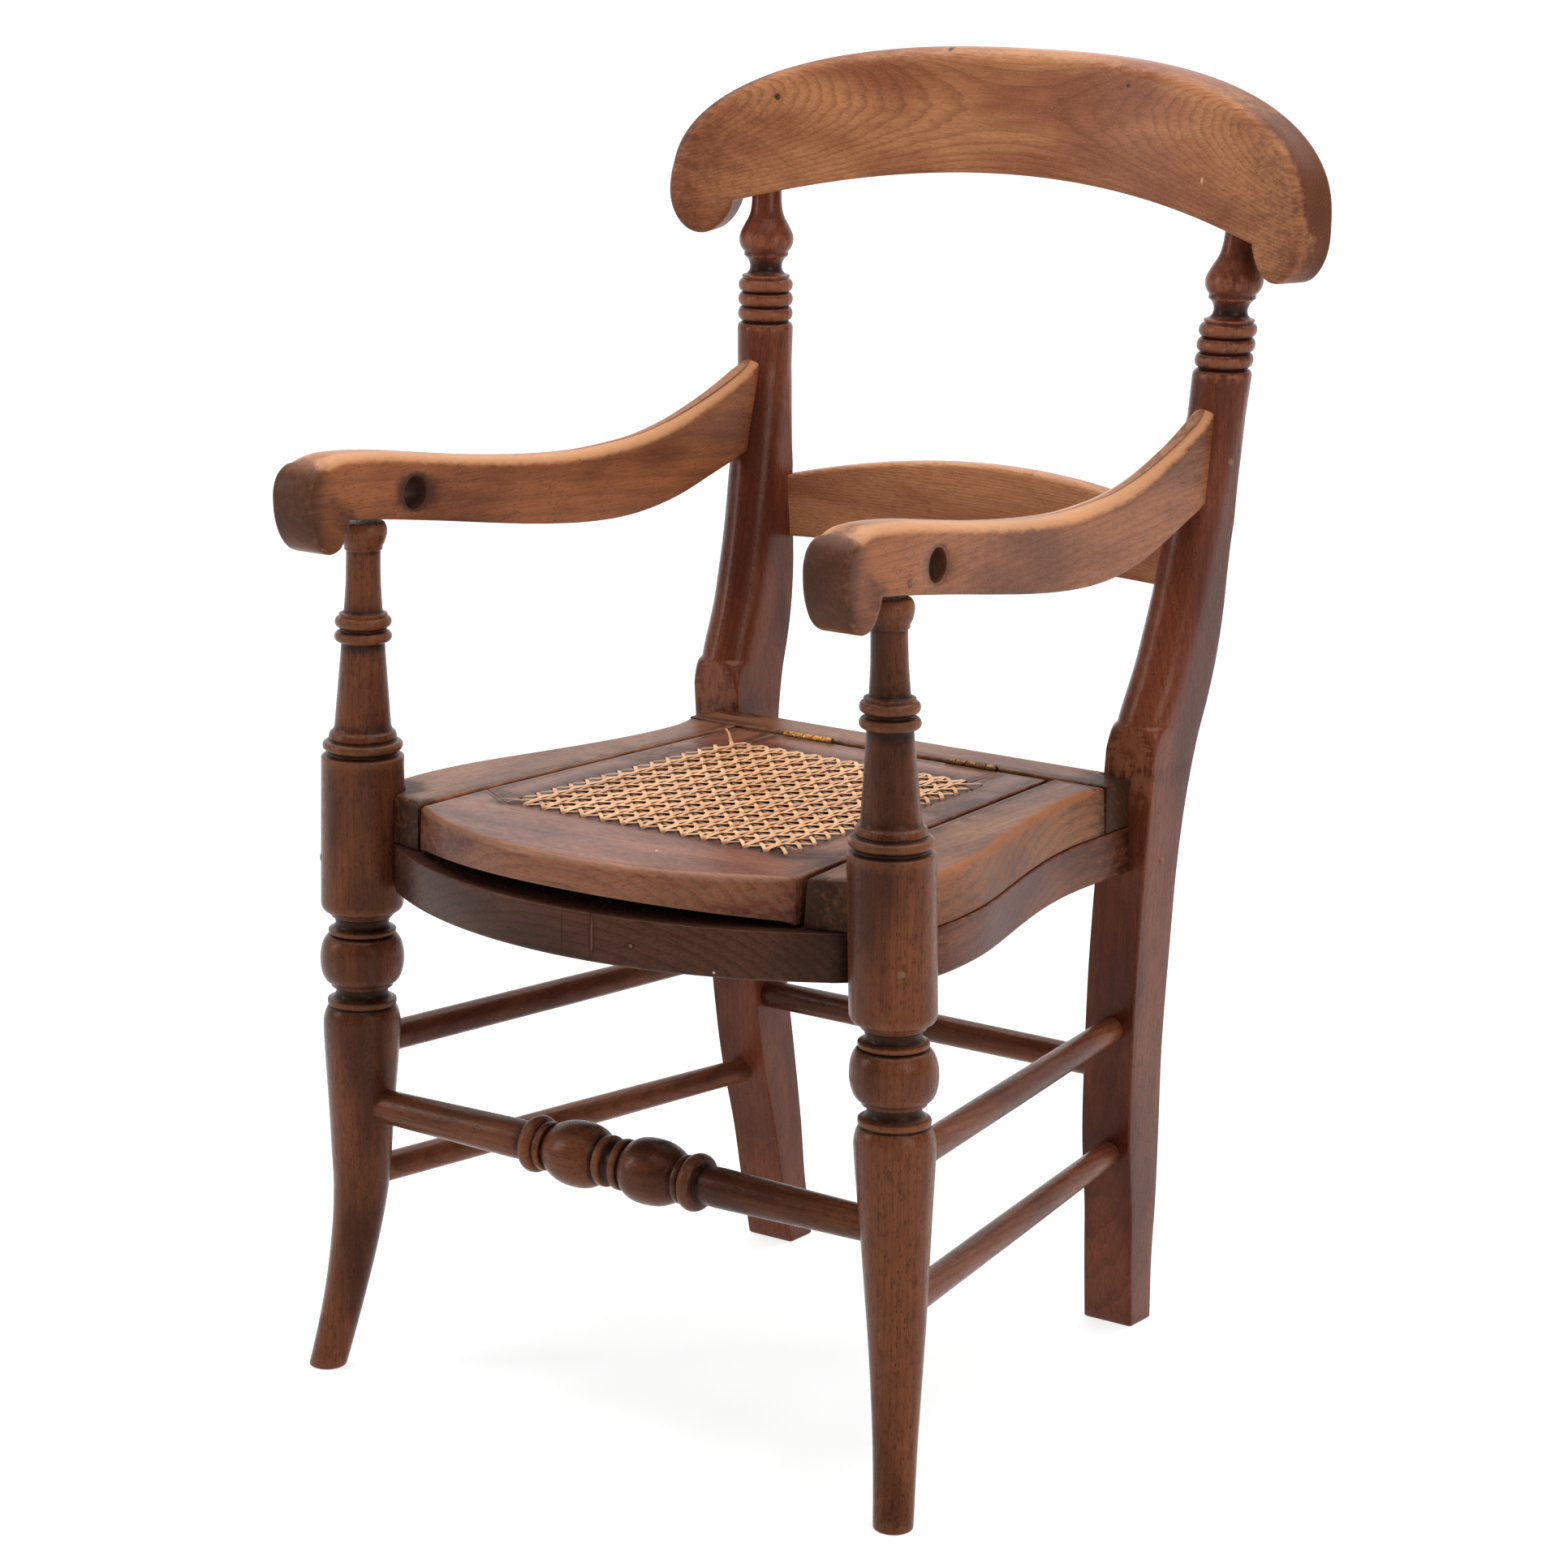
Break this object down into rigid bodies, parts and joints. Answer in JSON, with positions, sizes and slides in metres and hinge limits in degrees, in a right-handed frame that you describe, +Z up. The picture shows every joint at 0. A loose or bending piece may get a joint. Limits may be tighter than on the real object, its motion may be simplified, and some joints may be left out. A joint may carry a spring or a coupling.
{
  "type": "child's commode armchair",
  "caption": "Child's wooden commode armchair with turned legs, scrolled arms, bowed crest rail and a hinged caned lid in the seat.",
  "frame": {"origin": "on the floor under the middle of the chair's bounding box", "axes": "+Z up; the chair faces -Y; +X is the right-hand side seen from the front"},
  "size_m": [0.3796, 0.3908, 0.6205],
  "materials": {
    "leg_wood": "turned beech, brown stain under worn wax",
    "stile_wood": "red-brown stained beech, polished by handling",
    "arm_wood": "golden-brown beech, rubbed pale on the upper edges",
    "seat_wood": "grey-tan worn beech",
    "lid_wood": "worn reddish beech",
    "rail_wood": "dark stained beech",
    "peg_wood": "end grain of wooden pegs",
    "cane": "split rattan cane, honey coloured",
    "brass": "aged brass"
  },
  "bodies": {
    "frame": {"right_front_leg": "leg_wood", "left_front_leg": "leg_wood", "front_stretcher": "leg_wood", "rear_stretcher": "leg_wood", "right_upper_side_stretcher": "leg_wood", "left_upper_side_stretcher": "leg_wood", "right_lower_side_stretcher": "leg_wood", "left_lower_side_stretcher": "leg_wood", "right_rear_leg": "stile_wood", "left_rear_leg": "stile_wood", "right_arm": "arm_wood", "left_arm": "arm_wood", "crest_rail": "arm_wood", "back_rail": "arm_wood", "right_seat_board": "seat_wood", "left_seat_board": "seat_wood", "rear_seat_board": "seat_wood", "right_seat_rail": "rail_wood", "left_seat_rail": "rail_wood", "rear_seat_rail": "rail_wood", "front_seat_rail": "rail_wood", "pot_board": "rail_wood", "left_hinge_seat_leaf": "brass", "left_hinge_seat_screw_1": "brass", "left_hinge_seat_screw_2": "brass", "left_hinge_pin": "brass", "right_hinge_seat_leaf": "brass", "right_hinge_seat_screw_1": "brass", "right_hinge_seat_screw_2": "brass", "right_hinge_pin": "brass", "right_front_leg_peg": "peg_wood", "left_front_leg_peg": "peg_wood", "right_arm_peg": "peg_wood", "left_arm_peg": "peg_wood", "right_stile_peg": "peg_wood", "left_stile_peg": "peg_wood", "right_rear_leg_peg": "peg_wood", "left_rear_leg_peg": "peg_wood"},
    "lid": {"right_lid_stile": "lid_wood", "left_lid_stile": "lid_wood", "lid_front_rail": "lid_wood", "lid_rear_rail": "lid_wood", "cane_panel": "cane", "left_hinge_lid_leaf": "brass", "left_hinge_lid_screw_1": "brass", "left_hinge_lid_screw_2": "brass", "right_hinge_lid_leaf": "brass", "right_hinge_lid_screw_1": "brass", "right_hinge_lid_screw_2": "brass"}
  },
  "joints": [
    {"name": "lid_hinge", "type": "hinge", "parent": "frame", "child": "lid", "pos_m": [0, 0.07408, 0.2863], "axis": [-1, 0, 0], "range_deg": [0, 120]}
  ]
}
